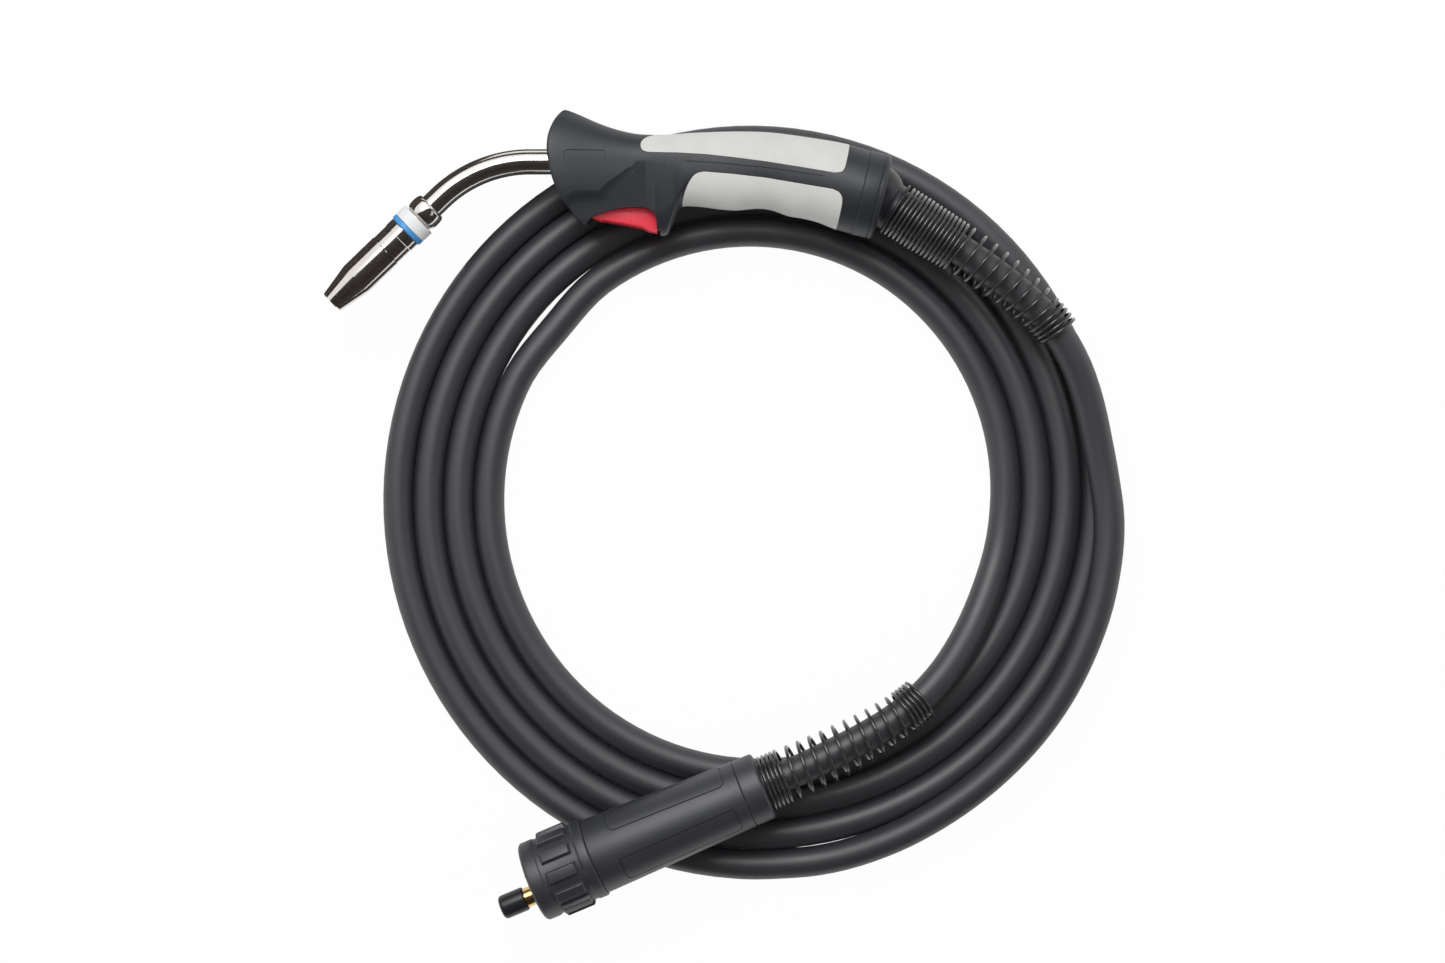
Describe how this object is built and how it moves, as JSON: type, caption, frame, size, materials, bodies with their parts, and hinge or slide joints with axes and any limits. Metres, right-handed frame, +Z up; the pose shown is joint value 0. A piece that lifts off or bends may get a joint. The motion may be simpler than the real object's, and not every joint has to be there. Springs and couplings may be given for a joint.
{
  "type": "mig welding torch",
  "caption": "Gas-cooled MIG welding torch: swan neck with gas nozzle, two-part pistol handle with trigger, coiled cable between sprung ends, and a central connector with union nut.",
  "frame": {"origin": "The middle of the cable coil, on the surface that the coil lies on.", "axes": "+Z up from that surface. +X along the handle from the neck towards the cable, +Y away from the trigger, so the trigger faces -Y and the nozzle points towards -X and -Y."},
  "size_m": [0.3839, 0.3865, 0.0541],
  "materials": {
    "cable_jacket": "satin black rubber jacket",
    "spring_wire": "gloss black lacquered wire",
    "gloss_black": "gloss black plastic",
    "handle_plastic": "fine-grained charcoal plastic",
    "connector_plastic": "fine-grained charcoal plastic",
    "pad_rubber": "soft light grey rubber",
    "trigger_red": "glossy red plastic",
    "chrome": "bright nickel plating",
    "brass": "turned brass",
    "copper": "turned copper alloy",
    "white_ring": "white insulating plastic",
    "blue_ring": "blue plastic",
    "liner_plastic": "white plastic",
    "steel": "zinc-plated steel",
    "rubber_black": "black rubber",
    "wire_red": "red wire insulation"
  },
  "bodies": {
    "cable": {"cable_coil": "cable_jacket", "cable_torch_end": "cable_jacket", "cable_plug_end": "cable_jacket", "torch_spring": "spring_wire", "support_ball": "gloss_black", "plug_spring": "spring_wire", "plug_housing": "connector_plastic", "plug_end_ring": "connector_plastic", "plug_block": "brass", "plug_insulator": "gloss_black", "wire_gas_pin": "brass", "gas_pin_o_rings": "rubber_black", "liner_nut": "brass", "plug_screws": "steel"},
    "handle": {"handle_shell_upper": "handle_plastic", "handle_shell_lower": "handle_plastic", "top_pad_upper": "pad_rubber", "top_pad_lower": "pad_rubber", "belly_pad_upper": "pad_rubber", "belly_pad_lower": "pad_rubber", "handle_collar": "handle_plastic", "handle_screws": "steel", "neck_tube": "chrome", "neck_liner": "liner_plastic", "neck_head": "chrome", "neck_block": "brass", "cable_crimp": "brass", "handle_cable": "cable_jacket", "insulating_ring": "white_ring", "seal_ring": "blue_ring", "nozzle_clip": "steel", "tip_holder": "brass", "contact_tip": "copper", "trigger_pin": "steel", "microswitch": "gloss_black", "switch_wires": "wire_red"},
    "trigger": {"trigger": "trigger_red"},
    "switch_plunger": {"switch_plunger": "liner_plastic"},
    "nozzle": {"gas_nozzle": "chrome"},
    "union_nut": {"union_nut": "connector_plastic"},
    "contact_left": {"contact_pin_left": "brass"},
    "contact_right": {"contact_pin_right": "brass"},
    "pin_cap": {"pin_cap": "gloss_black"}
  },
  "joints": [
    {"name": "handle_swivel", "type": "hinge", "parent": "cable", "child": "handle", "pos_m": [0.0559, 0.1433, 0.0337], "axis": [0, 0, 1], "range_deg": [-40, 3.5]},
    {"name": "trigger_pull", "type": "hinge", "parent": "handle", "child": "trigger", "pos_m": [-0.0768, 0.1363, 0.0337], "axis": [0, 0, 1], "range_deg": [0, 6], "stiffness_Nm_per_rad": 0.4, "springref_deg": -5.73},
    {"name": "plunger_in", "type": "slide", "parent": "handle", "child": "switch_plunger", "axis": [0, 1, 0], "range_m": [0, 0.0019]},
    {"name": "nozzle_pull", "type": "slide", "parent": "handle", "child": "nozzle", "axis": [-0.7193, -0.6947, 0], "range_m": [0, 0.05]},
    {"name": "nut_turn", "type": "hinge", "parent": "cable", "child": "union_nut", "pos_m": [-0.1066, -0.1853, 0.0316], "axis": [0.9219, 0.3875, 0], "continuous": true},
    {"name": "contact_left_in", "type": "slide", "parent": "cable", "child": "contact_left", "axis": [0.9219, 0.3875, 0], "range_m": [0, 0.002], "stiffness_N_per_m": 600, "springref_m": -0.001},
    {"name": "contact_right_in", "type": "slide", "parent": "cable", "child": "contact_right", "axis": [0.9219, 0.3875, 0], "range_m": [0, 0.002], "stiffness_N_per_m": 600, "springref_m": -0.001},
    {"name": "cap_off", "type": "slide", "parent": "cable", "child": "pin_cap", "axis": [-0.9219, -0.3875, 0], "range_m": [0, 0.025]}
  ],
  "couplings": [
    {"joint": "plunger_in", "follows": "trigger_pull", "m_per_rad": 0.0175}
  ]
}
